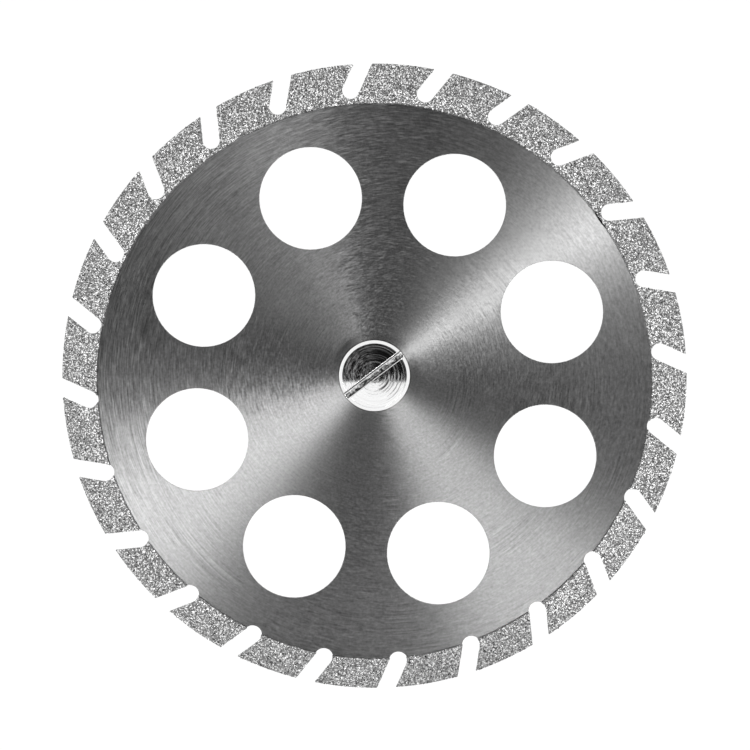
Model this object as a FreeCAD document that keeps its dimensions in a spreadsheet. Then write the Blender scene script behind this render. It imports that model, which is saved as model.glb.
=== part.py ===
# Double-sided diamond disc, clamped on a straight-shank mandrel by a slotted screw.
# Millimetres. The origin is on the axis at the tail end of the shank, +Z points to the screw head.
# The disc lies across the axis: its blank rests on the mandrel's flange and under the screw head.

import FreeCAD, Part
import os
import Sketcher

# Driving dimensions. Diameters and thicknesses of the disc are those of the finished, coated disc
# unless the name says core or coat.
SIZES = (
    ("disc_dia", 45.0),
    ("core_thickness", 0.3),
    ("coat_face", 0.1),
    ("coat_rim", 0.1),
    ("coat_slot", 0.05),
    ("band_width", 2.46),
    ("band_shift", -0.38),
    ("bore_dia", 1.8),
    ("vent_dia", 7.4),
    ("vent_circle_dia", 27.2),
    ("vent_count", 8),
    ("vent_angle", 19.8),
    ("slot_width", 1.25),
    ("slot_count", 24),
    ("slot_length", 2.09),
    ("slot_slant", 26.4),
    ("slot_angle", 5.8),
    ("shank_dia", 2.35),
    ("mandrel_length", 43.0),
    ("tail_chamfer", 0.3),
    ("neck_length", 1.8),
    ("neck_top_dia", 4.2),
    ("flange_dia", 5.0),
    ("flange_thickness", 0.9),
    ("flange_edge", 0.12),
    ("thread_dia", 1.6),
    ("thread_play", 0.02),
    ("thread_length", 5.2),
    ("thread_point", 0.2),
    ("tapped_depth", 6.0),
    ("drill_angle", 118.0),
    ("head_dia", 5.1),
    ("head_height", 1.0),
    ("head_edge_width", 0.23),
    ("head_edge_height", 0.2),
    ("head_crown", 0.08),
    ("driver_width", 0.5),
    ("driver_depth", 0.55),
    ("driver_shift", 0.09),
    ("driver_angle", 37.0),
)

# Levels along the axis, as formulas of the sheet's cells.
SEAT = "dims.mandrel_length"
BLANK_TOP = "dims.mandrel_length + dims.core_thickness"
COAT_BOTTOM = "dims.mandrel_length - dims.coat_face"
FLANGE_BACK = "dims.mandrel_length - dims.flange_thickness"
NECK_START = "dims.mandrel_length - dims.flange_thickness - dims.neck_length"
HEAD_TOP = "dims.mandrel_length + dims.core_thickness + dims.head_height"
CROWN_TOP = "dims.mandrel_length + dims.core_thickness + dims.head_height + dims.head_crown"
SCREW_TIP = "dims.mandrel_length + dims.core_thickness - dims.thread_length"

doc = FreeCAD.newDocument("diamond_disc")


def make_sheet():
    sheet = doc.addObject("Spreadsheet::Sheet", "dims")
    for row, (name, value) in enumerate(SIZES, start=1):
        sheet.set(f"A{row}", name)
        sheet.set(f"B{row}", str(value))
        sheet.setAlias(f"B{row}", name)
    doc.recompute()


def new_body(name):
    body = doc.addObject("PartDesign::Body", name)
    body.Label = name
    return body


def new_sketch(body, name, role="XY_Plane", level="0", turn="0"):
    # A sketch on one of the body's own origin planes, raised by level and turned about its normal.
    sketch = body.newObject("Sketcher::SketchObject", name)
    plane = next(item for item in body.Origin.OriginFeatures if item.Role == role)
    sketch.AttachmentSupport = [(plane, "")]
    sketch.MapMode = "FlatFace"
    sketch.setExpression("AttachmentOffset.Base.z", level)
    sketch.setExpression("AttachmentOffset.Rotation.Angle", turn)
    return sketch


def amount(sketch, formula):
    return float(sketch.evalExpression(formula))


def hold(sketch, kind, *places, formula):
    # One dimension of the sketch, driven by a formula of the sheet's cells.
    number = sketch.addConstraint(
        Sketcher.Constraint(kind, *places, amount(sketch, formula))
    )
    sketch.setExpression(f"Constraints[{number}]", formula)


def hold_point(sketch, geometry, point, across, up):
    # The point's place from the sketch's origin.
    hold(sketch, "DistanceX", -1, 1, geometry, point, formula=across)
    hold(sketch, "DistanceY", -1, 1, geometry, point, formula=up)


def add_circle(sketch, radius, across="0", up="0"):
    centre = FreeCAD.Vector(amount(sketch, across), amount(sketch, up), 0)
    circle = Part.Circle(centre, FreeCAD.Vector(0, 0, 1), amount(sketch, radius))
    number = sketch.addGeometry(circle, False)
    hold(sketch, "Radius", number, formula=radius)
    hold_point(sketch, number, 3, across, up)


def arc_middle(start, end, centre_across, centre_up):
    # A point halfway along the arc between two spots, when its centre's place is known in one
    # direction only. The other follows, because both spots are as far from the centre.
    squares = end.dot(end) - start.dot(start)
    if centre_up is None:
        rest = squares - 2 * centre_across * (end.x - start.x)
        centre = FreeCAD.Vector(centre_across, rest / (2 * (end.y - start.y)), 0)
    else:
        rest = squares - 2 * centre_up * (end.y - start.y)
        centre = FreeCAD.Vector(rest / (2 * (end.x - start.x)), centre_up, 0)
    middle = (start + end) / 2 - centre
    return centre + middle.normalize() * (end - centre).Length


def end_at(sketch, side, spot):
    # Which end of a side lies at the spot: 1 is its start and 2 its end.
    return min((1, 2), key=lambda end: (sketch.getPoint(side, end) - spot).Length)


def add_outline(sketch, corners, arc_side=None, centre_across=None, centre_up=None):
    # A closed outline through the corners, given as pairs of formulas. Its sides are straight,
    # except the one numbered arc_side, whose centre is held across or up by a formula.
    spots = [
        FreeCAD.Vector(amount(sketch, across), amount(sketch, up), 0)
        for across, up in corners
    ]
    count = len(spots)
    known_across = None if centre_across is None else amount(sketch, centre_across)
    known_up = None if centre_up is None else amount(sketch, centre_up)
    for number, start in enumerate(spots):
        end = spots[(number + 1) % count]
        if number == arc_side:
            middle = arc_middle(start, end, known_across, known_up)
            side = Part.Arc(start, middle, end)
        else:
            side = Part.LineSegment(start, end)
        sketch.addGeometry(side, False)
    for number, (across, up) in enumerate(corners):
        before = number - 1 if number else count - 1
        here = end_at(sketch, number, spots[number])
        there = end_at(sketch, before, spots[number])
        sketch.addConstraint(Sketcher.Constraint("Coincident", before, there, number, here))
        hold_point(sketch, number, here, across, up)
    if centre_across is not None:
        hold(sketch, "DistanceX", -1, 1, arc_side, 3, formula=centre_across)
    if centre_up is not None:
        hold(sketch, "DistanceY", -1, 1, arc_side, 3, formula=centre_up)


def pad(body, name, sketch, length):
    feature = body.newObject("PartDesign::Pad", name)
    feature.Profile = sketch
    feature.setExpression("Length", length)
    return feature


def cut_through(body, name, sketch):
    # Cuts upwards from a sketch on the solid's underside.
    feature = body.newObject("PartDesign::Pocket", name)
    feature.Profile = sketch
    feature.Type = "ThroughAll"
    feature.Reversed = True
    return feature


def spread_round(body, name, feature, count):
    # Copies of a cut round the body's Z axis.
    pattern = body.newObject("PartDesign::PolarPattern", name)
    pattern.Originals = [feature]
    axis = next(item for item in body.Origin.OriginFeatures if item.Role == "Z_Axis")
    pattern.Axis = (axis, [""])
    pattern.Angle = 360
    pattern.setExpression("Occurrences", count)
    body.Tip = pattern
    return pattern


def turn_round(body, name, sketch):
    feature = body.newObject("PartDesign::Revolution", name)
    feature.Profile = sketch
    feature.ReferenceAxis = (sketch, ["V_Axis"])
    feature.Angle = 360
    return feature


def slot_sketch(body, name, level, coat):
    # One rim slot with a full-round inner end, drawn along the sketch's X direction. It runs out
    # past the rim, where it stands at slot_slant to the radius, so its centreline passes the
    # disc's centre at a distance. slot_length is from the rim to the centre of the round end.
    sketch = new_sketch(body, name, level=level, turn="dims.slot_angle")
    half = f"dims.slot_width / 2 + {coat}"
    start = "dims.disc_dia / 2 * cos(dims.slot_slant * 1 deg) - dims.slot_length"
    centre_up = "dims.disc_dia / 2 * sin(dims.slot_slant * 1 deg)"
    low = f"{centre_up} - ({half})"
    high = f"{centre_up} + {half}"
    outside = "dims.disc_dia / 2"
    low_inner = FreeCAD.Vector(amount(sketch, start), amount(sketch, low), 0)
    low_outer = FreeCAD.Vector(amount(sketch, outside), low_inner.y, 0)
    high_inner = FreeCAD.Vector(low_inner.x, amount(sketch, high), 0)
    high_outer = FreeCAD.Vector(low_outer.x, high_inner.y, 0)
    innermost = FreeCAD.Vector(
        low_inner.x - amount(sketch, half), amount(sketch, centre_up), 0
    )
    low_side = sketch.addGeometry(Part.LineSegment(low_inner, low_outer), False)
    end_side = sketch.addGeometry(Part.LineSegment(low_outer, high_outer), False)
    high_side = sketch.addGeometry(Part.LineSegment(high_outer, high_inner), False)
    round_end = sketch.addGeometry(Part.Arc(high_inner, innermost, low_inner), False)
    sketch.addConstraint(Sketcher.Constraint("Coincident", low_side, 2, end_side, 1))
    sketch.addConstraint(Sketcher.Constraint("Coincident", end_side, 2, high_side, 1))
    sketch.addConstraint(Sketcher.Constraint("Tangent", high_side, 2, round_end, 1))
    sketch.addConstraint(Sketcher.Constraint("Tangent", round_end, 2, low_side, 1))
    sketch.addConstraint(Sketcher.Constraint("Horizontal", low_side))
    sketch.addConstraint(Sketcher.Constraint("Horizontal", high_side))
    sketch.addConstraint(Sketcher.Constraint("Vertical", end_side))
    hold(sketch, "Radius", round_end, formula=half)
    hold_point(sketch, round_end, 3, start, centre_up)
    hold(sketch, "DistanceX", -1, 1, end_side, 1, formula=outside)
    return sketch


def make_disc_blank():
    # Thin steel disc with its bore, round vents and slots. The slots are wider than the finished
    # ones by the coat on each wall, and the rim is smaller by the coat on it.
    body = new_body("disc_blank")
    outline = new_sketch(body, "blank_outline", level=SEAT)
    add_circle(outline, "dims.disc_dia / 2 - dims.coat_rim")
    add_circle(outline, "dims.bore_dia / 2")
    pad(body, "blank_plate", outline, "dims.core_thickness")
    vent = new_sketch(body, "vent_outline", level=SEAT, turn="dims.vent_angle")
    add_circle(vent, "dims.vent_dia / 2", across="dims.vent_circle_dia / 2")
    vent_cut = cut_through(body, "vent_cut", vent)
    spread_round(body, "vents", vent_cut, "dims.vent_count")
    slot = slot_sketch(body, "blank_slot_outline", SEAT, "dims.coat_slot")
    slot_cut = cut_through(body, "blank_slot_cut", slot)
    spread_round(body, "blank_slots", slot_cut, "dims.slot_count")
    return body


def make_diamond_layer(blank):
    # The plated band: a slotted ring as thick as the finished disc, less the blank inside it. What
    # is left covers both faces, the rim edge and the slot walls. Its inner edge is a circle a
    # little below the disc's centre, so the band is wider at the top of the disc.
    body = new_body("band_outside")
    outline = new_sketch(body, "band_outline", level=COAT_BOTTOM)
    add_circle(outline, "dims.disc_dia / 2")
    add_circle(outline, "dims.disc_dia / 2 - dims.band_width", up="dims.band_shift")
    pad(body, "band_ring", outline, "dims.core_thickness + 2 * dims.coat_face")
    slot = slot_sketch(body, "band_slot_outline", COAT_BOTTOM, "0")
    slot_cut = cut_through(body, "band_slot_cut", slot)
    spread_round(body, "band_slots", slot_cut, "dims.slot_count")
    layer = doc.addObject("Part::Cut", "diamond_layer")
    layer.Label = "diamond_layer"
    layer.Base = body
    layer.Tool = blank
    return layer


def make_mandrel():
    # Turned from one bar: shank with a chamfered tail, a hollow-curved neck that flares from it
    # to the flange, and a tapped hole whose plain wall stands at the thread's outside diameter.
    body = new_body("mandrel")
    profile = new_sketch(body, "mandrel_profile", role="XZ_Plane")
    flange_inset = "dims.flange_dia / 2 - dims.flange_edge"
    neck_foot = ("dims.shank_dia / 2", NECK_START)
    corners = (
        ("0", "0"),
        ("dims.shank_dia / 2 - dims.tail_chamfer", "0"),
        ("dims.shank_dia / 2", "dims.tail_chamfer"),
        neck_foot,
        ("dims.neck_top_dia / 2", FLANGE_BACK),
        (flange_inset, FLANGE_BACK),
        ("dims.flange_dia / 2", f"{FLANGE_BACK} + dims.flange_edge"),
        ("dims.flange_dia / 2", f"{SEAT} - dims.flange_edge"),
        (flange_inset, SEAT),
        ("0", SEAT),
    )
    add_outline(profile, corners, arc_side=corners.index(neck_foot), centre_up=NECK_START)
    turn_round(body, "mandrel_turned", profile)
    mouth = new_sketch(body, "tapped_mouth", level=SEAT)
    add_circle(mouth, "dims.thread_dia / 2 + dims.thread_play")
    doc.recompute()
    hole = body.newObject("PartDesign::Hole", "tapped_hole")
    hole.Profile = mouth
    hole.Threaded = False
    hole.DepthType = "Dimension"
    hole.DrillPoint = "Angled"
    hole.setExpression("Diameter", "dims.thread_dia + 2 * dims.thread_play")
    hole.setExpression("Depth", "dims.tapped_depth")
    hole.setExpression("DrillPointAngle", "dims.drill_angle")
    return body


def make_clamp_screw():
    # Turned head with a bevelled edge and a slightly domed face, on a plain shank that stands at
    # the thread's outside diameter. The driver slot runs out through the head's edge on both sides.
    body = new_body("clamp_screw")
    profile = new_sketch(body, "screw_profile", role="XZ_Plane")
    face_radius = "dims.head_dia / 2 - dims.head_edge_width"
    corners = (
        ("0", SCREW_TIP),
        ("dims.thread_dia / 2 - dims.thread_point", SCREW_TIP),
        ("dims.thread_dia / 2", f"{SCREW_TIP} + dims.thread_point"),
        ("dims.thread_dia / 2", BLANK_TOP),
        ("dims.head_dia / 2", BLANK_TOP),
        ("dims.head_dia / 2", f"{HEAD_TOP} - dims.head_edge_height"),
        (face_radius, HEAD_TOP),
        ("0", CROWN_TOP),
    )
    crown_side = corners.index((face_radius, HEAD_TOP))
    add_outline(profile, corners, arc_side=crown_side, centre_across="0")
    turn_round(body, "screw_turned", profile)
    driver = new_sketch(body, "driver_outline", level=CROWN_TOP, turn="dims.driver_angle")
    low = "dims.driver_shift - dims.driver_width / 2"
    high = "dims.driver_shift + dims.driver_width / 2"
    reach = "dims.head_dia"
    add_outline(
        driver,
        (
            (f"-{reach}", low),
            (reach, low),
            (reach, high),
            (f"-{reach}", high),
        ),
    )
    slot = body.newObject("PartDesign::Pocket", "driver_slot")
    slot.Profile = driver
    slot.setExpression("Length", "dims.driver_depth")
    return body


def check_and_write(pieces):
    doc.recompute()
    for item in doc.Objects:
        if "Invalid" in item.State or "Error" in item.State:
            raise RuntimeError(f"{item.Name} failed: {item.State}")
    for piece in pieces:
        if piece.Shape.isNull() or not piece.Shape.isValid():
            raise RuntimeError(f"{piece.Label} has no valid shape")
    os.makedirs("parts", exist_ok=True)
    for piece in pieces:
        piece.Shape.exportStep(f"parts/{piece.Label}.step")
        print(piece.Label, len(piece.Shape.Solids), "solids", round(piece.Shape.Volume, 4), "mm3")


make_sheet()
disc_blank = make_disc_blank()
diamond_layer = make_diamond_layer(disc_blank)
mandrel = make_mandrel()
clamp_screw = make_clamp_screw()
check_and_write((disc_blank, diamond_layer, mandrel, clamp_screw))
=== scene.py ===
import math

import bmesh
import bpy
import numpy as np
from mathutils import Matrix, Vector


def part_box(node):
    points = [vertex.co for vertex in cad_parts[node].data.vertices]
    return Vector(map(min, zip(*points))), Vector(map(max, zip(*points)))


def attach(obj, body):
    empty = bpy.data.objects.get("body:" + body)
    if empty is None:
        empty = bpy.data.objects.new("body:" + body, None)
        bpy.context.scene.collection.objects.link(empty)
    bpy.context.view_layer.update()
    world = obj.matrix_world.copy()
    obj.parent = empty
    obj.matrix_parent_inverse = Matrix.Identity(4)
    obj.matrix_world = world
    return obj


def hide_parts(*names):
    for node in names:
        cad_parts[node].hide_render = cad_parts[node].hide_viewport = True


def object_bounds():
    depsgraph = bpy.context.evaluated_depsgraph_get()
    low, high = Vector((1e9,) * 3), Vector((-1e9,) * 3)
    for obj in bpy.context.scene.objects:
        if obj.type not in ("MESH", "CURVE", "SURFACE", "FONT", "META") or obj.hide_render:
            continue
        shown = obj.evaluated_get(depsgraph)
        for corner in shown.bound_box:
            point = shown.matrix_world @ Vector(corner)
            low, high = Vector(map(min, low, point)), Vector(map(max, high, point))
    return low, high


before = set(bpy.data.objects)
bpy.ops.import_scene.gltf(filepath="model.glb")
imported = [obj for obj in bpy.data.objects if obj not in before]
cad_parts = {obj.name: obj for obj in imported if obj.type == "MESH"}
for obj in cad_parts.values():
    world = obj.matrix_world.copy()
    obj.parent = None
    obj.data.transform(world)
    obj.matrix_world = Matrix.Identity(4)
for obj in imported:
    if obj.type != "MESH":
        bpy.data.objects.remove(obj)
cadBox = [list(corner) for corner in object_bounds()]
mm = 0.001
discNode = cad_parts["disc_blank"]
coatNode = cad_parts["diamond_layer"]
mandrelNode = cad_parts["mandrel"]
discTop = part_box("disc_blank")[1].z
coatLow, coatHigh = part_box("diamond_layer")


def clearSelection():
    for piece in list(bpy.context.selected_objects):
        piece.select_set(False)
    bpy.context.view_layer.objects.active = None


clearSelection()

# camera: straight down the axis from far off, framed as the disc is seen face on
shot = {"lens": 200.0, "sensor": 36.0, "frameWidth": 54.09, "shiftX": 0.036, "shiftY": 0.05,
        "clipStart": 0.01, "clipEnd": 20.0}
distance = shot["frameWidth"] * mm * shot["lens"] / shot["sensor"]
bpy.ops.object.camera_add(location=(shot["shiftX"] * mm, shot["shiftY"] * mm, discTop + distance))
camera = bpy.context.object
camera.name = "faceOnCamera"
camera.data.lens = shot["lens"]
camera.data.sensor_width = shot["sensor"]
camera.data.clip_start = shot["clipStart"]
camera.data.clip_end = shot["clipEnd"]
camera.data.dof.use_dof = False
bpy.context.scene.camera = camera
bpy.context.scene.view_settings.view_transform = "Standard"
clearSelection()
print("camera placed")


# small helpers for node trees
def newMaterial(name):
    made = bpy.data.materials.new(name)
    made.use_nodes = True
    return made, made.node_tree, made.node_tree.nodes["Principled BSDF"]


def paint(piece, material):
    piece.data.materials.clear()
    piece.data.materials.append(material)


def setInput(tree, socket, value):
    if isinstance(value, bpy.types.NodeSocket):
        tree.links.new(value, socket)
    else:
        socket.default_value = value


def calc(tree, operation, *values, clamp=False):
    node = tree.nodes.new("ShaderNodeMath")
    node.operation = operation
    node.use_clamp = clamp
    for place, value in enumerate(values):
        setInput(tree, node.inputs[place], value)
    return node.outputs[0]


def vectorCalc(tree, operation, *values, factor=None):
    node = tree.nodes.new("ShaderNodeVectorMath")
    node.operation = operation
    for place, value in enumerate(values):
        setInput(tree, node.inputs[place], value)
    if factor is not None:
        setInput(tree, node.inputs["Scale"], factor)
    return node.outputs["Value" if operation in ("LENGTH", "DOT_PRODUCT") else "Vector"]


def joinAxes(tree, x, y, z):
    node = tree.nodes.new("ShaderNodeCombineXYZ")
    for place, value in enumerate((x, y, z)):
        setInput(tree, node.inputs[place], value)
    return node.outputs[0]


def upPart(tree, vector):
    node = tree.nodes.new("ShaderNodeSeparateXYZ")
    tree.links.new(vector, node.inputs[0])
    return node.outputs["Z"]


def noise(tree, vector, detail, rough, scale=1.0):
    node = tree.nodes.new("ShaderNodeTexNoise")
    setInput(tree, node.inputs["Vector"], vector)
    node.inputs["Scale"].default_value = scale
    node.inputs["Detail"].default_value = detail
    node.inputs["Roughness"].default_value = rough
    return node.outputs[0]


def remap(tree, value, low, high, toLow=0.0, toHigh=1.0, smooth=False):
    node = tree.nodes.new("ShaderNodeMapRange")
    node.interpolation_type = "SMOOTHSTEP" if smooth else "LINEAR"
    for socket, given in zip(("Value", "From Min", "From Max", "To Min", "To Max"),
                             (value, low, high, toLow, toHigh)):
        setInput(tree, node.inputs[socket], given)
    return node.outputs[0]


def grey(tree, value):
    return joinAxes(tree, value, value, value)


# noise is 0.5 on average, so this swings about nought
def swing(tree, pattern, amount):
    return calc(tree, "MULTIPLY", calc(tree, "SUBTRACT", pattern, 0.5), amount)


def bumped(tree, height, depth, normal=None):
    node = tree.nodes.new("ShaderNodeBump")
    node.inputs["Strength"].default_value = 1.0
    node.inputs["Distance"].default_value = depth
    setInput(tree, node.inputs["Height"], height)
    if normal is not None:
        setInput(tree, node.inputs["Normal"], normal)
    return node.outputs[0]


def roundedEdges(tree, radius, samples=6):
    node = tree.nodes.new("ShaderNodeBevel")
    node.samples = samples
    node.inputs["Radius"].default_value = radius
    return node.outputs[0]


def mixed(tree, share, first, second):
    node = tree.nodes.new("ShaderNodeMixShader")
    for place, value in enumerate((share, first, second)):
        tree.links.new(value, node.inputs[place])
    return node.outputs[0]


# place, radius and outward direction about the axis, in millimetres
def aroundAxis(tree, offset=(0.0, 0.0, 0.0)):
    coords = tree.nodes.new("ShaderNodeTexCoord").outputs["Object"]
    place = vectorCalc(tree, "SCALE", coords, factor=1 / mm)
    moved = vectorCalc(tree, "SUBTRACT", place, offset)
    flat = vectorCalc(tree, "MULTIPLY", moved, (1.0, 1.0, 0.0))
    radius = vectorCalc(tree, "LENGTH", flat)
    outward = vectorCalc(tree, "NORMALIZE", flat)
    return {"place": moved, "flat": flat, "radius": radius, "outward": outward}


# cosine of the angle between the outward direction and a side
def cosineTo(tree, polar, side):
    return vectorCalc(tree, "DOT_PRODUCT", polar["outward"], side)


# noise drawn out along the circles: turns is how often it changes on the way round, rings per mm
def ringNoise(tree, polar, turns, rings, detail, rough, seed=0.0):
    around = vectorCalc(tree, "SCALE", polar["outward"], factor=turns)
    lift = calc(tree, "MULTIPLY_ADD", polar["radius"], rings, seed)
    return noise(tree, vectorCalc(tree, "ADD", around, joinAxes(tree, 0.0, 0.0, lift)), detail, rough)


# floor: sizes and distances in metres, its gap below the part in millimetres
stageSet = {"floorSize": 6.0, "floorGap": 0.02, "floorTone": 0.8, "floorRough": 0.9, "shadowShare": 0.13,
            "nearBy": 0.15, "farOff": 1.0, "nearWhite": 0.9, "farWhite": 1.0}


def buildFloor():
    level = cadBox[0][2] - stageSet["floorGap"] * mm
    bpy.ops.mesh.primitive_plane_add(size=stageSet["floorSize"], location=(0, 0, level))
    floor = bpy.context.object
    floor.name = "paleFloor"
    made, tree, shader = newMaterial("paleFloorPaint")
    shader.inputs["Base Color"].default_value = (stageSet["floorTone"],) * 3 + (1.0,)
    shader.inputs["Roughness"].default_value = stageSet["floorRough"]
    shader.inputs["Specular IOR Level"].default_value = 0.0
    # where it is seen or mirrored it glows white, more so far off, and takes a faint shadow
    path = tree.nodes.new("ShaderNodeLightPath")
    mirrored = calc(tree, "MAXIMUM", path.outputs["Is Glossy Ray"], path.outputs["Is Transmission Ray"])
    seen = calc(tree, "MAXIMUM", path.outputs["Is Camera Ray"], mirrored)
    geometry = tree.nodes.new("ShaderNodeNewGeometry")
    away = vectorCalc(tree, "LENGTH", geometry.outputs["Position"])
    glow = remap(tree, away, stageSet["nearBy"], stageSet["farOff"],
                 stageSet["nearWhite"], stageSet["farWhite"], smooth=True)
    shown = tree.nodes.new("ShaderNodeEmission")
    shown.inputs["Color"].default_value = (1, 1, 1, 1)
    setInput(tree, shown.inputs["Strength"], glow)
    shadow = tree.nodes.new("ShaderNodeBsdfDiffuse")
    shadow.inputs["Color"].default_value = (stageSet["shadowShare"],) * 3 + (1.0,)
    both = tree.nodes.new("ShaderNodeAddShader")
    tree.links.new(shown.outputs[0], both.inputs[0])
    tree.links.new(shadow.outputs[0], both.inputs[1])
    upper = mixed(tree, seen, shader.outputs[0], both.outputs[0])
    # from below it is clear
    clear = tree.nodes.new("ShaderNodeBsdfTransparent")
    surface = mixed(tree, geometry.outputs["Backfacing"], upper, clear.outputs[0])
    tree.links.new(surface, tree.nodes["Material Output"].inputs[0])
    floor.data.materials.append(made)
    clearSelection()


buildFloor()

# the room: bright walls low down, dark overhead, white where the camera sees it
room = {"wall": 1.0, "overhead": 0.025, "wallTop": 0.10, "darkFrom": 0.66,
        "zenith": 0.004, "zenithFrom": 0.955, "zenithFull": 0.985}


def buildWorld():
    world = bpy.data.worlds.new("studioRoom")
    world.use_nodes = True
    bpy.context.scene.world = world
    tree = world.node_tree
    backdrop = tree.nodes["Background"]
    upward = upPart(tree, tree.nodes.new("ShaderNodeTexCoord").outputs["Generated"])
    level = remap(tree, upward, room["wallTop"], room["darkFrom"],
                  room["wall"], room["overhead"], smooth=True)
    darker = remap(tree, upward, room["zenithFrom"], room["zenithFull"],
                   0.0, room["overhead"] - room["zenith"], smooth=True)
    level = calc(tree, "SUBTRACT", level, darker)
    seen = tree.nodes.new("ShaderNodeLightPath").outputs["Is Camera Ray"]
    setInput(tree, backdrop.inputs["Color"], grey(tree, calc(tree, "MAXIMUM", seen, level)))
    backdrop.inputs["Strength"].default_value = 1.0


buildWorld()

# studio lamps: azimuth and angle from the axis in degrees, reach and sizes in metres
lampSet = {"reach": 0.7, "fromAxis": 43, "height": 0.24}
lamps = {
    "upperRight": {"azimuth": 34.2, "width": 0.07, "power": 1.44},
    "lowerLeft": {"azimuth": 210.2, "width": 0.31, "power": 2.80},
    "lowerRight": {"azimuth": 307.0, "width": 0.28, "power": 2.16},
    "upperLeft": {"azimuth": 110.5, "width": 0.13, "power": 0.37},
}


def addLamp(name, place, width, height, power):
    bpy.ops.object.light_add(type="AREA", location=place)
    lamp = bpy.context.object
    lamp.name = name
    lamp.data.shape = "RECTANGLE"
    lamp.data.size = width
    lamp.data.size_y = height
    lamp.data.energy = power
    lamp.visible_camera = False
    clearSelection()
    return lamp


def buildLamp(name, values):
    spin, tilt = math.radians(values["azimuth"]), math.radians(lampSet["fromAxis"])
    away = Vector((math.cos(spin) * math.sin(tilt), math.sin(spin) * math.sin(tilt), math.cos(tilt)))
    lamp = addLamp(name, Vector((0, 0, discTop)) + away * lampSet["reach"],
                   values["width"], lampSet["height"], values["power"])
    lamp.rotation_mode = "QUATERNION"
    lamp.rotation_quaternion = (-away).to_track_quat("-Z", "Y")


for lampName, lampValues in lamps.items():
    buildLamp(lampName, lampValues)

# a bright card just beside the camera, which the domed screw head shows in its lower half
card = {"width": 0.16, "depth": 0.08, "nearEdge": -0.0145, "height": 0.50, "glow": 1.0}
addLamp("brightCard", (0, card["nearEdge"] - card["depth"] / 2, discTop + card["height"]),
        card["width"], card["depth"], card["glow"] * math.pi * card["width"] * card["depth"])
print("stage and lamps set")

# disc: circular-brushed steel. Ring patterns give turns, rings per mm, detail, roughness and seed, flat ones
# detail, roughness and scale. A range says where a blend starts and where it is full.
steel = {
    "tone": 0.298, "rough": 0.394, "roughSwing": 0.02, "gloss": 0.85, "dish": 0.15, "edgeRound": 0.045,
    "fineRings": (1.3, 9.0, 3.0, 0.6, 0.0), "ringSwing": 0.22, "ringDepth": 0.0007, "streakRelief": 0.8,
    "streaks": (20.0, 10.0, 1.0, 0.6, 31.0), "strokes": (11.0, 10.5, 1.0, 0.6, 140.0),
    "streakRange": (13.5, 17.5), "crossed": (14.0, 10.5, 1.0, 0.6, 88.0), "crossCentre": (2.6, 1.4, 0.0),
    "specks": (46.0, 6.0, 1.0, 0.5, 77.0), "grain": (2.0, 0.6, 5.5),
    "markSwing": 0.68, "speckSwing": 0.40, "grainSwing": 0.50,
    "wanderRange": (7.0, 16.0), "wanderHub": 0.60, "wanderRim": 0.38,
    "longLines": (7.0, 12.0, 1.0, 0.5, 203.0), "longSwing": 1.2, "longSide": (-0.95, 0.30, 0.0),
    "longRange": (0.45, 0.95),
    "arcLines": (2.2, 8.0, 1.0, 0.5, 12.0), "arcCentre": (0.9, -0.7, 0.0), "arcSwing": 0.9,
    "arcPlaces": (1.0, 0.5, 0.22), "arcRange": (0.52, 0.66),
    "patches": (2.0, 0.5, 0.35), "patchRange": (0.3, 0.7),
    "flecks": (1.0, 0.5, 7.0), "fleckRange": (0.62, 0.76), "fleckHaze": 0.12,
    "haze": 0.012, "speckHaze": 0.24, "markHaze": 0.66,
    "roughSide": (-0.42, 0.91, 0.0), "roughRange": (-0.4, 0.6), "roughLeast": 0.35, "roughMost": 0.75,
    "smoothSide": (0.94, 0.34, 0.0), "smoothRange": (0.35, 0.85), "smoothCut": 0.55, "smoothSpecks": 0.3,
    "dullSide": (0.45, -0.89, 0.0), "dullRange": (-0.1, 0.9), "dullOutwards": (8.0, 18.0), "dullHaze": 0.13,
    # painted shadow in the seam under the screw head: its radii and tone
    "seamShadowRange": (2.56, 2.68), "seamShadowTone": 0.45,
    # painted shadow of a gap at the foot of the coat: azimuth, radius, length, width, blend range and tone
    "gapShadowAzimuth": 34.7, "gapShadowRadius": 19.775, "gapShadowLength": 0.86, "gapShadowWidth": 0.10,
    "gapShadowRange": (0.6, 1.2), "gapShadowTone": 0.03,
}


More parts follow.
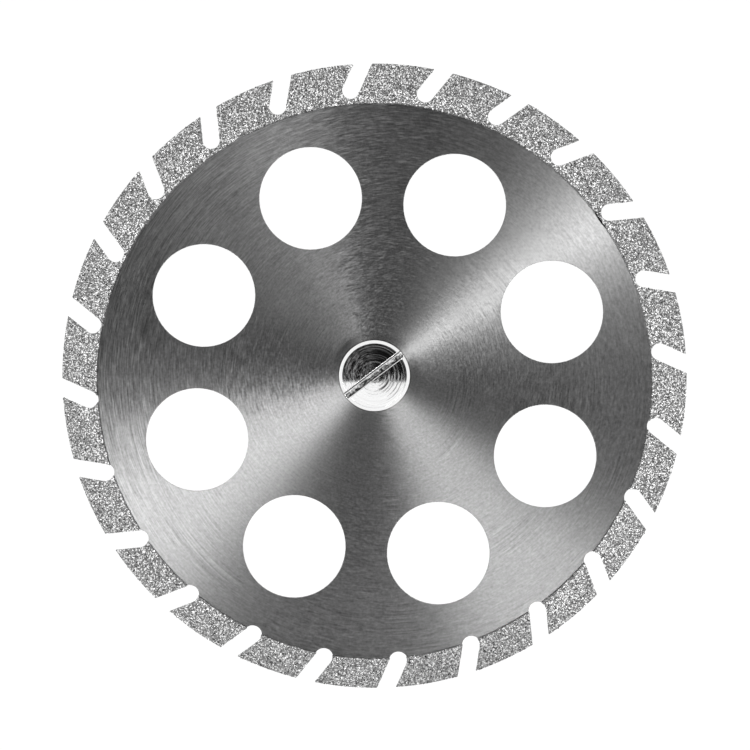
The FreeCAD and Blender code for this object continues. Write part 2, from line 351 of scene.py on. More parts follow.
def finishDisc():
    made, tree, shader = newMaterial("circularBrushedSteel")
    polar = aroundAxis(tree)
    fineRings = ringNoise(tree, polar, *steel["fineRings"])
    streaks = ringNoise(tree, polar, *steel["streaks"])
    strokes = ringNoise(tree, polar, *steel["strokes"])
    specks = ringNoise(tree, polar, *steel["specks"])
    grain = noise(tree, polar["flat"], *steel["grain"])
    # short strokes along the circles, shorter near the rim, crossed by others about a centre off the axis
    nearRim = remap(tree, polar["radius"], *steel["streakRange"], smooth=True)
    marks = calc(tree, "MULTIPLY_ADD", nearRim, calc(tree, "SUBTRACT", streaks, strokes), strokes)
    crossed = ringNoise(tree, aroundAxis(tree, steel["crossCentre"]), *steel["crossed"])
    bothMarks = calc(tree, "SUBTRACT", calc(tree, "ADD", marks, crossed), 1.0)
    # they are strongest on one side, and on another the rim has specks more than strokes
    sided = remap(tree, cosineTo(tree, polar, steel["roughSide"]), *steel["roughRange"],
                  steel["roughLeast"], steel["roughMost"], smooth=True)
    smoothShare = remap(tree, cosineTo(tree, polar, steel["smoothSide"]), *steel["smoothRange"], smooth=True)
    smoothShare = calc(tree, "MULTIPLY", nearRim, smoothShare)
    uncut = calc(tree, "SUBTRACT", 1.0, calc(tree, "MULTIPLY", smoothShare, steel["smoothCut"]))
    marks = calc(tree, "MULTIPLY_ADD", bothMarks, calc(tree, "MULTIPLY", sided, uncut), 0.5)
    # long lines near the rim on one side
    longLines = ringNoise(tree, polar, *steel["longLines"])
    longShare = remap(tree, cosineTo(tree, polar, steel["longSide"]), *steel["longRange"], smooth=True)
    longShare = calc(tree, "MULTIPLY", nearRim, longShare)
    # scratch arcs from handling, turned about a centre a little off the axis, here and there
    arcLines = ringNoise(tree, aroundAxis(tree, steel["arcCentre"]), *steel["arcLines"])
    arcPlaces = remap(tree, noise(tree, polar["flat"], *steel["arcPlaces"]), *steel["arcRange"], smooth=True)
    arcs = calc(tree, "MULTIPLY", arcPlaces, calc(tree, "SUBTRACT", arcLines, 0.5))
    # brushing direction wanders a little, most near the hub, so that each fan breaks up into short strokes
    wander = remap(tree, polar["radius"], *steel["wanderRange"],
                   steel["wanderHub"], steel["wanderRim"], smooth=True)
    around = vectorCalc(tree, "CROSS_PRODUCT", (0.0, 0.0, 1.0), polar["outward"])
    sway = calc(tree, "MULTIPLY", swing(tree, marks, 1.0), wander)
    across = vectorCalc(tree, "ADD", polar["outward"], vectorCalc(tree, "SCALE", around, factor=sway))
    tree.links.new(vectorCalc(tree, "NORMALIZE", across), shader.inputs["Tangent"])
    # how the tone changes from place to place
    change = calc(tree, "ADD", swing(tree, fineRings, steel["ringSwing"]),
                  swing(tree, marks, steel["markSwing"]))
    speckShare = calc(tree, "MULTIPLY_ADD", smoothShare, steel["smoothSpecks"], 1.0)
    change = calc(tree, "MULTIPLY_ADD", swing(tree, specks, steel["speckSwing"]), speckShare, change)
    change = calc(tree, "ADD", change, swing(tree, grain, steel["grainSwing"]))
    change = calc(tree, "ADD", change, calc(tree, "MULTIPLY", arcs, steel["arcSwing"]))
    longChange = calc(tree, "MULTIPLY", longShare, swing(tree, longLines, steel["longSwing"]))
    change = calc(tree, "ADD", change, longChange)
    # a painted shadow of a gap at the foot of the coat
    turn = math.radians(steel["gapShadowAzimuth"])
    outwards = Vector((math.cos(turn), math.sin(turn), 0.0))
    sideways = Vector((-outwards.y, outwards.x, 0.0))
    fromGapShadow = vectorCalc(tree, "SUBTRACT", polar["flat"], outwards * steel["gapShadowRadius"])
    alongGapShadow = vectorCalc(tree, "DOT_PRODUCT", fromGapShadow, sideways / steel["gapShadowLength"])
    acrossGapShadow = vectorCalc(tree, "DOT_PRODUCT", fromGapShadow, outwards / steel["gapShadowWidth"])
    gapShadowSpot = vectorCalc(tree, "LENGTH", joinAxes(tree, alongGapShadow, acrossGapShadow, 0.0))
    paintedGapShadow = remap(tree, gapShadowSpot, *steel["gapShadowRange"], steel["gapShadowTone"], 1.0, smooth=True)
    # a painted shadow in the seam under the screw head
    paintedSeamShadow = remap(tree, polar["radius"], *steel["seamShadowRange"], steel["seamShadowTone"], 1.0, smooth=True)
    paintedShadows = calc(tree, "MULTIPLY", paintedGapShadow, paintedSeamShadow)
    toned = calc(tree, "MULTIPLY_ADD", change, steel["tone"], steel["tone"])
    setInput(tree, shader.inputs["Base Color"], grey(tree, calc(tree, "MULTIPLY", paintedShadows, toned)))
    patches = noise(tree, polar["flat"], *steel["patches"])
    setInput(tree, shader.inputs["Roughness"],
             remap(tree, patches, *steel["patchRange"],
                   steel["rough"] - steel["roughSwing"], steel["rough"] + steel["roughSwing"]))
    # the finest scratches and flecks scatter a little light to all sides
    haze = calc(tree, "ADD", swing(tree, specks, steel["speckHaze"]), swing(tree, marks, steel["markHaze"]))
    haze = calc(tree, "ADD", haze, steel["haze"])
    flecks = remap(tree, noise(tree, polar["flat"], *steel["flecks"]), *steel["fleckRange"],
                   0.0, steel["fleckHaze"], smooth=True)
    haze = calc(tree, "ADD", haze, flecks)
    # duller towards the rim on one side
    dullSide = remap(tree, cosineTo(tree, polar, steel["dullSide"]), *steel["dullRange"], smooth=True)
    dullOut = remap(tree, polar["radius"], *steel["dullOutwards"], 0.0, steel["dullHaze"], smooth=True)
    haze = calc(tree, "MULTIPLY_ADD", dullSide, dullOut, haze)
    setInput(tree, shader.inputs["Metallic"], calc(tree, "SUBTRACT", 1.0, haze, clamp=True))
    shader.inputs["Anisotropic"].default_value = steel["gloss"]
    # a slightly dished face with fine relief
    edges = roundedEdges(tree, steel["edgeRound"] * mm)
    lean = vectorCalc(tree, "SCALE", polar["outward"], factor=steel["dish"])
    dished = vectorCalc(tree, "NORMALIZE", vectorCalc(tree, "ADD", edges, lean))
    relief = calc(tree, "ADD", arcs, calc(tree, "MULTIPLY", streaks, steel["streakRelief"]))
    relief = calc(tree, "ADD", fineRings, relief)
    setInput(tree, shader.inputs["Normal"], bumped(tree, relief, steel["ringDepth"] * mm, dished))
    paint(discNode, made)


finishDisc()
print("disc steel done")

# nickel bond between the crystals
bond = {"tone": 0.26, "toneSwing": 0.15, "rough": 0.45, "roughSwing": 0.1, "metal": 0.75,
        "lumps": (2.0, 0.6), "lumpRange": (0.3, 0.7), "lumpSize": 0.13, "depth": 0.02}


def finishBond():
    made, tree, shader = newMaterial("nickelBond")
    lumps = noise(tree, aroundAxis(tree)["place"], *bond["lumps"], 1 / bond["lumpSize"])
    tones = remap(tree, lumps, *bond["lumpRange"],
                  bond["tone"] - bond["toneSwing"], bond["tone"] + bond["toneSwing"])
    setInput(tree, shader.inputs["Base Color"], grey(tree, tones))
    setInput(tree, shader.inputs["Roughness"],
             remap(tree, lumps, *bond["lumpRange"],
                   bond["rough"] + bond["roughSwing"], bond["rough"] - bond["roughSwing"]))
    shader.inputs["Metallic"].default_value = bond["metal"]
    setInput(tree, shader.inputs["Normal"], bumped(tree, lumps, bond["depth"] * mm))
    paint(coatNode, made)


finishBond()

# diamond crystals: a few shapes modelled once, then set thickly into the bond
grit = {
    "rim": 22.5, "inner": 20.04, "innerShift": -0.38,
    "slots": 24, "slotTurn": 5.8, "slotSide": 10.004, "slotEnd": 18.0635, "slotHalf": 0.625, "slotRun": 2.6,
    "stretch": (1.0, 0.86, 0.78), "unevenness": 0.16, "shapeSeed": 3, "ownShade": 0.85, "facetShade": 0.15,
    "faceSeed": 11, "spacing": 0.100, "jitter": 0.45, "size": 0.063, "sizeSwing": 0.28,
    "sizeLimits": (-0.5, 0.6), "sunk": 0.022, "sunkSwing": 0.012, "edgeGap": 0.02,
    "wallSeed": 29, "wallRows": 5, "wallInset": 0.05, "wallSunk": 0.040, "wallJitter": (0.25, 0.25, 0.35),
    "wallShake": 0.6, "wallSize": 0.062, "wallSwing": 0.22, "wallLimits": (-0.4, 0.4),
    "footStep": 0.075, "footOut": (0.01, 0.06), "footUp": (0.0, 0.06), "footSize": 0.05, "footSwing": 0.25,
}


# an octahedron, a wedge, a fivefold double cone and a splinter, each a little uneven
def crystalShapes():
    shapes = []
    starts = (
        (bpy.ops.mesh.primitive_uv_sphere_add, {"segments": 4, "ring_count": 2, "radius": 1.0}),
        (bpy.ops.mesh.primitive_cylinder_add, {"vertices": 3, "radius": 1.0, "depth": 1.3}),
        (bpy.ops.mesh.primitive_uv_sphere_add, {"segments": 5, "ring_count": 2, "radius": 1.0}),
        (bpy.ops.mesh.primitive_cone_add, {"vertices": 3, "radius1": 1.05, "radius2": 0.6, "depth": 1.3}),
    )
    for place, (start, values) in enumerate(starts):
        start(**values)
        crystal = bpy.context.object
        bpy.ops.object.mode_set(mode="EDIT")
        bpy.ops.mesh.select_all(action="SELECT")
        bpy.ops.transform.resize(value=grit["stretch"])
        bpy.ops.transform.vertex_random(offset=grit["unevenness"], seed=place + grit["shapeSeed"])
        bpy.ops.mesh.quads_convert_to_tris()
        bpy.ops.mesh.normals_make_consistent(inside=False)
        bpy.ops.object.mode_set(mode="OBJECT")
        corners = np.array([vertex.co for vertex in crystal.data.vertices], float)
        faces = np.array([list(face.vertices) for face in crystal.data.polygons], int)
        shapes.append((corners, faces))
        bpy.data.objects.remove(crystal)
        clearSelection()
    return shapes


shapes = crystalShapes()
slotTurns = [math.radians(grit["slotTurn"] + 360 / grit["slots"] * count) for count in range(grit["slots"])]


# distance from the wall of the nearest slot, less than nought inside a slot
def slotGap(x, y):
    gap = np.full(x.shape, 1e9)
    for turn in slotTurns:
        along = x * math.cos(turn) + y * math.sin(turn)
        side = y * math.cos(turn) - x * math.sin(turn) - grit["slotSide"]
        past = np.maximum(grit["slotEnd"] - along, 0.0)
        gap = np.minimum(gap, np.hypot(past, side) - grit["slotHalf"])
    return gap


def insideBand(x, y, margin):
    return ((np.hypot(x, y) < grit["rim"] - margin)
            & (np.hypot(x, y - grit["innerShift"]) > grit["inner"] + margin)
            & (slotGap(x, y) > margin))


def turnMatrices(draw, count):
    quats = draw.normal(size=(count, 4))
    quats /= np.linalg.norm(quats, axis=1)[:, None]
    w, x, y, z = quats.T
    return np.stack([
        np.stack([1 - 2 * (y * y + z * z), 2 * (x * y - w * z), 2 * (x * z + w * y)], 1),
        np.stack([2 * (x * y + w * z), 1 - 2 * (x * x + z * z), 2 * (y * z - w * x)], 1),
        np.stack([2 * (x * z - w * y), 2 * (y * z + w * x), 1 - 2 * (x * x + y * y)], 1),
    ], 1)


def drawSizes(draw, count, size, spread, limits):
    return size * (1 + draw.normal(0, spread, count).clip(*limits))


def setCrystals(name, centres, sizes, draw):
    kinds = draw.integers(0, len(shapes), len(centres))
    turns = turnMatrices(draw, len(centres))
    tones = draw.random(len(centres))
    corners, faces, shades, first = [], [], [], 0
    for kind, (shapeCorners, shapeFaces) in enumerate(shapes):
        chosen = kinds == kind
        count = int(chosen.sum())
        placed = np.einsum("nij,kj->nki", turns[chosen], shapeCorners)
        placed = placed * sizes[chosen][:, None, None] + centres[chosen][:, None, :]
        corners.append(placed.reshape(-1, 3))
        steps = first + np.arange(count)[:, None, None] * len(shapeCorners)
        faces.append((shapeFaces[None] + steps).reshape(-1, 3))
        shades.append(grit["ownShade"] * np.repeat(tones[chosen], len(shapeFaces))
                      + grit["facetShade"] * draw.random(count * len(shapeFaces)))
        first += count * len(shapeCorners)
    corners, faces, shades = np.concatenate(corners) * mm, np.concatenate(faces), np.concatenate(shades)
    mesh = bpy.data.meshes.new(name)
    mesh.from_pydata(corners.tolist(), [], faces.tolist())
    tone = mesh.attributes.new("tone", "FLOAT", "FACE")
    tone.data.foreach_set("value", shades.astype(np.float32))
    piece = bpy.data.objects.new(name, mesh)
    bpy.context.scene.collection.objects.link(piece)
    piece.data.materials.append(crystalMaterial)
    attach(piece, "root")
    print(name, len(centres), "crystals,", len(faces), "triangles")


crystalLook = {
    "dark": 0.03, "pale": 1.0, "toneRange": (0.19, 0.455), "rough": 0.22, "metal": 0.04, "ior": 1.9,
    "wearRange": (20.3, 22.3), "innerTone": 1.0, "rimTone": 0.84, "sideRange": (0.75, 0.97),
    "paleSide": (0.94, -0.34, 0.0), "paleTone": 1.28, "darkerSide": (0.0, -1.0, 0.0), "darkerSideTone": 0.84,
}


def makeCrystalMaterial():
    made, tree, shader = newMaterial("diamondCrystal")
    polar = aroundAxis(tree)
    drawn = tree.nodes.new("ShaderNodeAttribute")
    drawn.attribute_name = "tone"
    level = remap(tree, drawn.outputs["Fac"], *crystalLook["toneRange"],
                  crystalLook["dark"], crystalLook["pale"], smooth=True)
    # worn a little darker towards the rim; also paler on one side and darker on another
    wearAndSides = remap(tree, polar["radius"], *crystalLook["wearRange"],
                 crystalLook["innerTone"], crystalLook["rimTone"])
    for side, sideTone in (("paleSide", "paleTone"), ("darkerSide", "darkerSideTone")):
        share = remap(tree, cosineTo(tree, polar, crystalLook[side]), *crystalLook["sideRange"],
                      1.0, crystalLook[sideTone], smooth=True)
        wearAndSides = calc(tree, "MULTIPLY", wearAndSides, share)
    setInput(tree, shader.inputs["Base Color"], grey(tree, calc(tree, "MULTIPLY", level, wearAndSides, clamp=True)))
    shader.inputs["Roughness"].default_value = crystalLook["rough"]
    shader.inputs["Metallic"].default_value = crystalLook["metal"]
    shader.inputs["IOR"].default_value = crystalLook["ior"]
    return made


crystalMaterial = makeCrystalMaterial()


def coverFaces():
    draw = np.random.default_rng(grit["faceSeed"])
    step = grit["spacing"]
    rows = np.arange(-grit["rim"], grit["rim"], step * math.sqrt(3) / 2)
    columns = np.arange(-grit["rim"], grit["rim"], step)
    x, y = np.meshgrid(columns, rows)
    x = x + (np.arange(len(rows)) % 2)[:, None] * step / 2
    for name, level, side in (("gritFront", coatHigh.z / mm, 1), ("gritBack", coatLow.z / mm, -1)):
        px = (x + draw.uniform(-1, 1, x.shape) * step * grit["jitter"]).ravel()
        py = (y + draw.uniform(-1, 1, y.shape) * step * grit["jitter"]).ravel()
        inBand = insideBand(px, py, grit["edgeGap"])
        for half, chosen in (("Left", inBand & (px < 0)), ("Right", inBand & (px >= 0))):
            count = int(chosen.sum())
            sizes = drawSizes(draw, count, grit["size"], grit["sizeSwing"], grit["sizeLimits"])
            sunk = grit["sunk"] + draw.uniform(-grit["sunkSwing"], grit["sunkSwing"], count)
            centres = np.stack([px[chosen], py[chosen], level - side * sunk], 1)
            setCrystals(name + half, centres, sizes, draw)


def coverEdges():
    draw = np.random.default_rng(grit["wallSeed"])
    step, sunk = grit["spacing"], grit["wallSunk"]
    low, high = coatLow.z / mm + grit["wallInset"], coatHigh.z / mm - grit["wallInset"]
    # a path down one wall of a slot, round its end and up the other wall
    half = grit["slotHalf"] + sunk
    bend = np.arange(math.pi / 2, 3 * math.pi / 2, step / half)
    run = np.arange(0, grit["slotRun"], step)
    along = grit["slotEnd"] + np.concatenate([run, half * np.cos(bend), run])
    side = np.concatenate([np.full(len(run), half), half * np.sin(bend), np.full(len(run), -half)])
    side = side + grit["slotSide"]
    ring = grit["rim"] - sunk
    points = []

    def addPoints(x, y, level):
        points.append(np.stack([x, y, np.full(len(x), level)], 1))

    for count, level in enumerate(np.linspace(low, high, grit["wallRows"])):
        angles = np.arange(0, 2 * math.pi, step / grit["rim"]) + count * 0.5 * step / grit["rim"]
        addPoints(ring * np.cos(angles), ring * np.sin(angles), level)
        for turn in slotTurns:
            addPoints(along * math.cos(turn) - side * math.sin(turn),
                      along * math.sin(turn) + side * math.cos(turn), level)
    points = np.concatenate(points)
    shaken = draw.uniform(-1, 1, points.shape) * np.array(grit["wallJitter"]) * step * grit["wallShake"]
    points = points + shaken
    points = points[insideBand(points[:, 0], points[:, 1], grit["edgeGap"])]
    sizes = drawSizes(draw, len(points), grit["wallSize"], grit["wallSwing"], grit["wallLimits"])
    setCrystals("gritEdges", points, sizes, draw)
    # small crystals along the foot of the coat, on both faces of the steel
    angles = np.arange(0, 2 * math.pi, grit["footStep"] / grit["inner"])
    feet = []
    for level, side in ((discTop / mm, 1), (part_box("disc_blank")[0].z / mm, -1)):
        ring = grit["inner"] + draw.uniform(*grit["footOut"], len(angles))
        x, y = ring * np.cos(angles), ring * np.sin(angles) + grit["innerShift"]
        level = level + side * draw.uniform(*grit["footUp"], len(angles))
        feet.append(np.stack([x, y, level], 1)[slotGap(x, y) > grit["edgeGap"]])
    feet = np.concatenate(feet)
    sizes = drawSizes(draw, len(feet), grit["footSize"], grit["footSwing"], grit["sizeLimits"])
    setCrystals("gritFoot", feet, sizes, draw)


coverFaces()
coverEdges()
print("diamond crystals set")

# clamp screw, turned from a round bar and slotted; the cutter's sizes only have to clear the head
screw = {
    "sides": 192, "stem": 0.8, "tip": 38.1, "point": 0.2, "seat": 43.3, "head": 2.55, "seatEdge": 0.04,
    "shoulder": 44.1, "face": 2.32, "faceLevel": 44.3, "crown": 0.08, "eye": 0.08, "smoothAngle": 25,
    "ringSeed": 5, "ringStep": 0.075, "ringUneven": (0.8, 1.2), "ringDepth": 0.0002,
    "slotFloor": 43.83, "slotTurn": 37.0, "slotShift": 0.09, "lipSlope": 38.0, "ledgeRise": 0.002,
    "nearSide": {"foot": 0.252, "footTop": 0.256, "rise": 0.05, "wall": 0.256, "ledge": 0.260, "lip": 0.055},
    "farSide": {"foot": 0.172, "footTop": 0.175, "rise": 0.050, "wall": 0.178, "ledge": 0.234, "lip": 0.050},
    "cutTop": 44.6, "cutLength": 6, "cutWidth": 0.4, "cutReach": 2.6, "cutCount": 17,
    "cutLevels": (0.1, 0.2, 0.3),
    "nibX": 0.04, "nibY": -0.42, "nibReach": 0.16, "nibHeight": 0.018,
}


def domeLevel(radius):
    return screw["faceLevel"] + screw["crown"] * (1 - (radius / screw["face"]) ** 2)


def turnedProfile():
    draw = np.random.default_rng(screw["ringSeed"])
    edge = screw["seatEdge"]
    steps = [(screw["stem"], screw["tip"] + screw["point"]), (screw["stem"], screw["seat"]),
             (screw["head"] - edge, screw["seat"]), (screw["head"], screw["seat"] + edge),
             (screw["head"], screw["shoulder"]), (screw["face"], screw["faceLevel"])]
    radius = screw["face"] - screw["ringStep"]
    while radius > screw["eye"]:
        steps.append((radius, domeLevel(radius) + draw.uniform(-1, 1) * screw["ringDepth"]))
        radius -= screw["ringStep"] * draw.uniform(*screw["ringUneven"])
    return steps


def buildScrew():
    radius, level = screw["stem"] - screw["point"], screw["tip"]
    bpy.ops.mesh.primitive_circle_add(vertices=screw["sides"], radius=radius * mm, fill_type="NGON",
                                      location=(0, 0, level * mm))
    piece = bpy.context.object
    piece.name = "clampScrewTurned"
    bpy.ops.object.transform_apply(location=True, rotation=False, scale=False)
    bpy.ops.object.mode_set(mode="EDIT")
    bpy.ops.mesh.select_all(action="SELECT")
    for newRadius, newLevel in turnedProfile():
        bpy.ops.mesh.extrude_region_move(TRANSFORM_OT_translate={"value": (0, 0, (newLevel - level) * mm)})
        if newRadius != radius:
            bpy.ops.transform.resize(value=(newRadius / radius, newRadius / radius, 1),
                                     center_override=(0, 0, newLevel * mm))
        radius, level = newRadius, newLevel
    bpy.ops.mesh.select_all(action="SELECT")
    bpy.ops.mesh.normals_make_consistent(inside=False)
    # a small nib left by the turning tool
    shape = bmesh.from_edit_mesh(piece.data)
    for vertex in shape.verts:
        offX, offY = vertex.co.x / mm - screw["nibX"], vertex.co.y / mm - screw["nibY"]
        gap = math.hypot(offX, offY) / screw["nibReach"]
        if gap < 1 and vertex.co.z / mm > screw["faceLevel"]:
            vertex.co.z += screw["nibHeight"] * mm * (1 - gap * gap) ** 2
    bmesh.update_edit_mesh(piece.data)
    bpy.ops.object.mode_set(mode="OBJECT")
    clearSelection()
    cutter = buildSlotCutter()
    cut = piece.modifiers.new("driverSlot", "BOOLEAN")
    cut.operation = "DIFFERENCE"
    cut.solver = "EXACT"
    cut.object = cutter
    piece.select_set(True)
    bpy.context.view_layer.objects.active = piece
    bpy.ops.object.modifier_apply(modifier=cut.name)
    bpy.data.objects.remove(cutter)
    bpy.ops.object.shade_smooth_by_angle(angle=math.radians(screw["smoothAngle"]))
    clearSelection()
    return piece


# a long block, cut across into levels; its sides then follow the slot: foot, wall, ledge and flared lip
def buildSlotCutter():
    floor, top, reach = screw["slotFloor"], screw["cutTop"], screw["cutReach"]
    slope = math.tan(math.radians(screw["lipSlope"]))
    bpy.ops.mesh.primitive_cube_add(size=1.0, location=(0, 0, 0))
    cutter = bpy.context.object
    cutter.scale = (screw["cutLength"] * mm, screw["cutWidth"] * mm, (top - floor) * mm)
    cutter.location = (0, 0, (top + floor) / 2 * mm)
    bpy.ops.object.transform_apply(location=True, rotation=True, scale=True)
    bpy.ops.object.mode_set(mode="EDIT")
    for place in np.linspace(-reach, reach, screw["cutCount"]):
        bpy.ops.mesh.select_all(action="SELECT")
        bpy.ops.mesh.bisect(plane_co=(place * mm, 0, 0), plane_no=(1, 0, 0))
    levels = [floor, *(floor + rise for rise in screw["cutLevels"]), top]
    for level in levels[1:-1]:
        bpy.ops.mesh.select_all(action="SELECT")
        bpy.ops.mesh.bisect(plane_co=(0, 0, level * mm), plane_no=(0, 0, 1))
    shape = bmesh.from_edit_mesh(cutter.data)
    for vertex in shape.verts:
        side, sign = (screw["farSide"], 1) if vertex.co.y > 0 else (screw["nearSide"], -1)
        step = min(range(len(levels)), key=lambda place: abs(levels[place] - vertex.co.z / mm))
        corner = domeLevel(min(abs(vertex.co.x / mm), reach)) - side["lip"] * slope
        across = (side["foot"], side["footTop"], side["wall"], side["ledge"],
                  side["ledge"] + (top - corner) / slope)[step]
        height = (floor, floor + side["rise"], corner + screw["ledgeRise"], corner, top)[step]
        vertex.co.y, vertex.co.z = sign * across * mm, height * mm
    bmesh.update_edit_mesh(cutter.data)
    bpy.ops.mesh.select_all(action="SELECT")
    bpy.ops.mesh.normals_make_consistent(inside=False)
    bpy.ops.object.mode_set(mode="OBJECT")
    turn = math.radians(screw["slotTurn"])
    shift = Vector((-math.sin(turn), math.cos(turn), 0)) * screw["slotShift"] * mm
    cutter.data.transform(Matrix.Translation(shift) @ Matrix.Rotation(turn, 4, "Z"))
    clearSelection()
    return cutter


# patterns and ranges are given as for the disc
screwLook = {
    "edgeRound": 0.012, "ringDepth": 0.00012, "sideGap": 0.01,
    "fineRings": (0.8, 11.0, 1.0, 0.5, 21.0), "ringRange": (0.3, 0.7), "ringDark": 0.87, "ringPale": 0.96,
    "specks": (5.0, 12.0, 1.0, 0.6, 9.0), "speckRange": (0.42, 0.72), "rough": 0.045, "roughest": 0.11,
    "arcs": (0.9, 4.0, 0.0, 0.5, 4.0), "arcRange": (0.30, 0.62), "arcHaze": 0.16,
    "arcRadii": (1.00, 1.52, 2.12), "arcWidth": 0.035, "wideRange": (0.34, 0.56), "wideLeast": 0.25,
    "haze": 0.002, "sharpRange": (0.46, 0.72), "ringHaze": 0.07, "lineCore": 0.4,
    "dustSide": (-0.94, 0.34, 0.0), "dustRange": (0.1, 0.9), "dustSpecks": (0.40, 0.7), "dustHaze": 0.12,
    "floorReach": 0.2, "floorDepth": 0.006, "floorHaze": 0.80, "floorRough": 0.40,
    "mottle": (2.0, 0.6), "mottleAlong": 2.7, "mottleAcross": 5.0, "mottleSeed": 3.0,
    "mottleRange": (0.44, 0.54), "floorDark": 0.04, "floorPale": 1.25,
    "grain": (1.0, 0.5, 9.0), "grainRange": (0.32, 0.68), "fineDark": 0.15, "fineBright": 1.75,
    # painted shade across the slot floor, a painted highlight on its far edge and painted shade at the
    # burr's root
    "wallShadeRange": (-0.10, 0.23), "wallShadeNear": 0.15, "wallShadeFar": 1.05, "farEdgeHighlightRange": (0.12, 0.205),
    "paintedFarEdgeHighlight": 0.98, "burrShadeAt": 0.285, "burrShadeHalf": 0.037, "burrShadeSoft": 0.006,
    "scoreStep": 0.16, "scoreFull": 0.995, "scoreTone": 0.02,
    "worn": (3.4, 3.2, 1.0, 0.5, 51.0), "wornRange": (0.34, 0.50), "wornLeast": 0.45,
}

# dark scores in the lower right of the face: radius, width, strength, azimuth, cosine of half their length
scores = ((1.05, 0.100, 0.95, -38, 0.84), (0.80, 0.050, 0.50, -32, 0.92), (1.27, 0.050, 0.55, -32, 0.91),
          (1.45, 0.050, 0.50, -24, 0.94), (1.74, 0.055, 0.55, -24, 0.94), (1.97, 0.045, 0.40, -28, 0.93),
          (1.12, 0.030, 0.30, -88, 0.75), (1.34, 0.030, 0.25, -74, 0.78), (0.43, 0.100, 0.75, -84, 0.90))


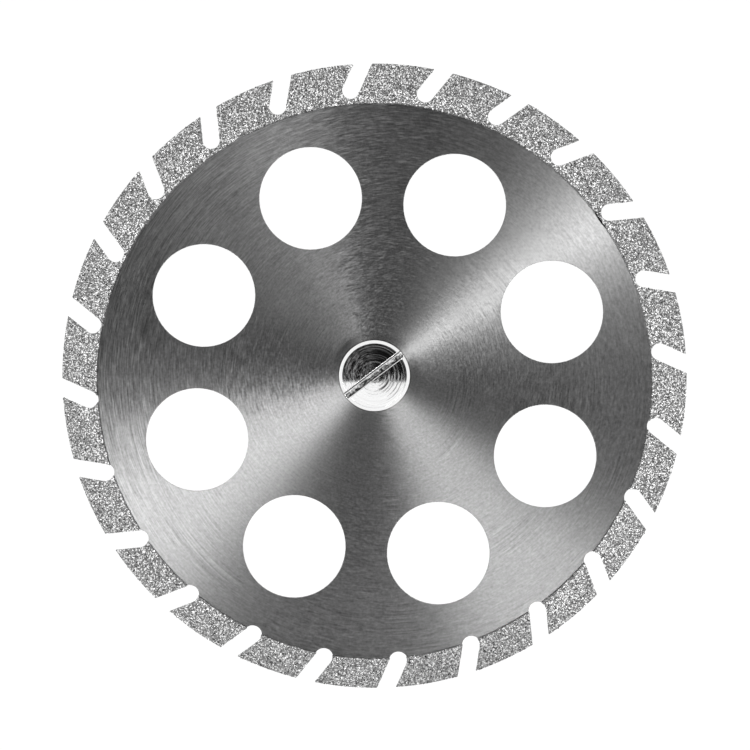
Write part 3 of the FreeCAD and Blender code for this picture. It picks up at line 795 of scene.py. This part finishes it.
def finishScrew(piece):
    made, tree, shader = newMaterial("turnedScrewSteel")
    polar = aroundAxis(tree)
    # tool marks: long arcs of uneven depth, and finer rings between them
    arcs = ringNoise(tree, polar, *screwLook["arcs"])
    fineRings = ringNoise(tree, polar, *screwLook["fineRings"])
    specks = ringNoise(tree, polar, *screwLook["specks"])
    # the slot's floor is rougher than the turned face, and smeared along the slot
    inside = calc(tree, "LESS_THAN", polar["radius"], screw["head"] - screwLook["sideGap"])
    low = screw["slotFloor"] + screwLook["floorReach"]
    lowDown = calc(tree, "MULTIPLY", inside, calc(tree, "LESS_THAN", upPart(tree, polar["place"]), low))
    turn = math.radians(screw["slotTurn"])
    alongSlot = vectorCalc(tree, "DOT_PRODUCT", polar["flat"], (math.cos(turn), math.sin(turn), 0.0))
    acrossSlot = vectorCalc(tree, "DOT_PRODUCT", polar["flat"], (-math.sin(turn), math.cos(turn), 0.0))
    smearPlace = joinAxes(tree, calc(tree, "MULTIPLY", alongSlot, screwLook["mottleAlong"]),
                          calc(tree, "MULTIPLY", acrossSlot, screwLook["mottleAcross"]),
                          screwLook["mottleSeed"])
    mottle = noise(tree, smearPlace, *screwLook["mottle"])
    smearsAndPaintedLight = remap(tree, mottle, *screwLook["mottleRange"],
                   screwLook["floorDark"], screwLook["floorPale"], smooth=True)
    grain = noise(tree, polar["place"], *screwLook["grain"])
    fine = remap(tree, grain, *screwLook["grainRange"], screwLook["fineDark"], screwLook["fineBright"])
    smearsAndPaintedLight = calc(tree, "MULTIPLY", smearsAndPaintedLight, fine)
    # painted shade: the floor is darker towards the slot's near-side wall
    paintedWallShade = remap(tree, acrossSlot, *screwLook["wallShadeRange"],
                      screwLook["wallShadeNear"], screwLook["wallShadeFar"])
    smearsAndPaintedLight = calc(tree, "MULTIPLY", smearsAndPaintedLight, paintedWallShade)
    # a painted highlight along its far edge
    paintedFarEdgeHighlight = remap(tree, acrossSlot, *screwLook["farEdgeHighlightRange"], 0.0, screwLook["paintedFarEdgeHighlight"], smooth=True)
    smearsAndPaintedLight = calc(tree, "MAXIMUM", smearsAndPaintedLight, paintedFarEdgeHighlight)
    # blended in over the slot floor: its smears, painted shade and painted highlight
    dulled = calc(tree, "ADD", 1.0, calc(tree, "MULTIPLY", lowDown, calc(tree, "SUBTRACT", smearsAndPaintedLight, 1.0)))
    # painted shade: a dark line in the crease at the root of the burr along the far lip
    offBurrShade = calc(tree, "ABSOLUTE", calc(tree, "SUBTRACT", acrossSlot, screwLook["burrShadeAt"]))
    burrShadeLine = remap(tree, offBurrShade, screwLook["burrShadeHalf"],
                     screwLook["burrShadeHalf"] + screwLook["burrShadeSoft"], 1.0, 0.0)
    paintedBurrShade = calc(tree, "MULTIPLY", inside, burrShadeLine)

    def ringAt(radius, width):
        off = calc(tree, "ABSOLUTE", calc(tree, "SUBTRACT", polar["radius"], radius))
        return remap(tree, off, width * screwLook["lineCore"], width, 1.0, 0.0, smooth=True)

    scoresAndBurrShade = 0.0
    for radius, width, strength, azimuth, reach in scores:
        toward = (math.cos(math.radians(azimuth)), math.sin(math.radians(azimuth)), 0.0)
        start = reach - screwLook["scoreStep"]
        full = min(reach + screwLook["scoreStep"], screwLook["scoreFull"])
        fade = remap(tree, cosineTo(tree, polar, toward), start, full, 0.0, strength, smooth=True)
        scoresAndBurrShade = calc(tree, "MAXIMUM", calc(tree, "MULTIPLY", ringAt(radius, width), fade), scoresAndBurrShade)
    worn = ringNoise(tree, polar, *screwLook["worn"])
    wornShare = remap(tree, worn, *screwLook["wornRange"], screwLook["wornLeast"], 1.0, smooth=True)
    # the scores, joined by the painted shade at the burr's root
    scoresAndBurrShade = calc(tree, "MAXIMUM", calc(tree, "MULTIPLY", scoresAndBurrShade, wornShare), paintedBurrShade)
    rings = remap(tree, fineRings, *screwLook["ringRange"], screwLook["ringDark"], screwLook["ringPale"])
    face = calc(tree, "MULTIPLY", rings, calc(tree, "SUBTRACT", 1.0, scoresAndBurrShade, clamp=True))
    face = calc(tree, "MAXIMUM", face, screwLook["scoreTone"])
    setInput(tree, shader.inputs["Base Color"], grey(tree, calc(tree, "MULTIPLY", face, dulled)))
    polished = remap(tree, specks, *screwLook["speckRange"], screwLook["rough"], screwLook["roughest"])
    rough = calc(tree, "MULTIPLY_ADD", calc(tree, "MAXIMUM", lowDown, scoresAndBurrShade),
                 screwLook["floorRough"], polished)
    setInput(tree, shader.inputs["Roughness"], rough)
    # raised marks and dust scatter light, so that they stay visible where the face mirrors the dark
    sharp = calc(tree, "MULTIPLY", remap(tree, fineRings, *screwLook["sharpRange"], smooth=True),
                 remap(tree, arcs, *screwLook["arcRange"], smooth=True))
    haze = calc(tree, "MULTIPLY_ADD", sharp, screwLook["ringHaze"], screwLook["haze"])
    wide = remap(tree, arcs, *screwLook["wideRange"], screwLook["wideLeast"], 1.0, smooth=True)
    for radius in screwLook["arcRadii"]:
        arc = calc(tree, "MULTIPLY", ringAt(radius, screwLook["arcWidth"]), wide)
        haze = calc(tree, "MULTIPLY_ADD", arc, screwLook["arcHaze"], haze)
    toDust = cosineTo(tree, polar, screwLook["dustSide"])
    dusty = calc(tree, "MULTIPLY", remap(tree, toDust, *screwLook["dustRange"], smooth=True),
                 remap(tree, specks, *screwLook["dustSpecks"], smooth=True))
    haze = calc(tree, "MULTIPLY_ADD", dusty, screwLook["dustHaze"], haze)
    haze = calc(tree, "MULTIPLY_ADD", lowDown, screwLook["floorHaze"], haze)
    haze = calc(tree, "ADD", haze, scoresAndBurrShade)
    setInput(tree, shader.inputs["Metallic"], calc(tree, "SUBTRACT", 1.0, haze, clamp=True))
    edges = roundedEdges(tree, screwLook["edgeRound"] * mm)
    turned = bumped(tree, fineRings, screwLook["ringDepth"] * mm, edges)
    setInput(tree, shader.inputs["Normal"],
             bumped(tree, calc(tree, "MULTIPLY", mottle, lowDown), screwLook["floorDepth"] * mm, turned))
    paint(piece, made)
    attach(piece, "root")
    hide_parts("clamp_screw")


finishScrew(buildScrew())
print("clamp screw done")

# mandrel: ground shank and turned flange
mandrelLook = {
    "tone": 0.40, "toneSwing": 0.06, "gloss": 0.80, "edgeRound": 0.03,
    "grooves": (0.5, 16.0, 2.0, 0.6), "grooveRange": (0.3, 0.7), "grooveDepth": 0.0008,
    "handling": (3.0, 0.6, 0.4), "handlingRange": (0.3, 0.7), "rough": 0.31, "roughest": 0.44,
    "bands": (1.0, 0.5), "bandsPerMm": 1.3, "bandRange": (0.45, 0.6), "polishRough": -0.10,
    "gripRange": (2.0, 14.0), "gripLeast": 0.3,
}


def finishMandrel():
    made, tree, shader = newMaterial("groundMandrelSteel")
    polar = aroundAxis(tree)
    height = upPart(tree, polar["place"])
    # grooves go round the shank, and on the flat faces they are rings
    rise = calc(tree, "ADD", height, polar["radius"])
    grooves = ringNoise(tree, {"outward": polar["outward"], "radius": rise}, *mandrelLook["grooves"])
    # the collet has polished bands around the tail half of the shank
    bandPlace = joinAxes(tree, 0.0, 0.0, calc(tree, "MULTIPLY", rise, mandrelLook["bandsPerMm"]))
    bands = noise(tree, bandPlace, *mandrelLook["bands"])
    gripped = remap(tree, height, *mandrelLook["gripRange"], 1.0, mandrelLook["gripLeast"], smooth=True)
    polish = calc(tree, "MULTIPLY", gripped, remap(tree, bands, *mandrelLook["bandRange"], smooth=True))
    swings = calc(tree, "ADD", remap(tree, grooves, *mandrelLook["grooveRange"], -1.0, 1.0), polish)
    toned = calc(tree, "MULTIPLY_ADD", swings, mandrelLook["toneSwing"], mandrelLook["tone"])
    setInput(tree, shader.inputs["Base Color"], grey(tree, toned))
    handling = noise(tree, polar["place"], *mandrelLook["handling"])
    dulled = remap(tree, handling, *mandrelLook["handlingRange"],
                   mandrelLook["rough"], mandrelLook["roughest"])
    setInput(tree, shader.inputs["Roughness"],
             calc(tree, "MULTIPLY_ADD", polish, mandrelLook["polishRough"], dulled))
    shader.inputs["Metallic"].default_value = 1.0
    shader.inputs["Anisotropic"].default_value = mandrelLook["gloss"]
    # light spreads across the grooves: along the shank and the cone, and outwards on the flat faces
    facingUp = upPart(tree, tree.nodes.new("ShaderNodeNewGeometry").outputs["Normal"])
    upright = calc(tree, "SUBTRACT", 1.0, calc(tree, "ABSOLUTE", facingUp))
    lengthwise = joinAxes(tree, 0.0, 0.0, upright)
    outwards = vectorCalc(tree, "SCALE", polar["outward"], factor=calc(tree, "MULTIPLY", facingUp, -1.0))
    spread = vectorCalc(tree, "ADD", lengthwise, outwards)
    setInput(tree, shader.inputs["Tangent"], vectorCalc(tree, "NORMALIZE", spread))
    edges = roundedEdges(tree, mandrelLook["edgeRound"] * mm)
    setInput(tree, shader.inputs["Normal"], bumped(tree, grooves, mandrelLook["grooveDepth"] * mm, edges))
    paint(mandrelNode, made)


finishMandrel()
print("mandrel done")
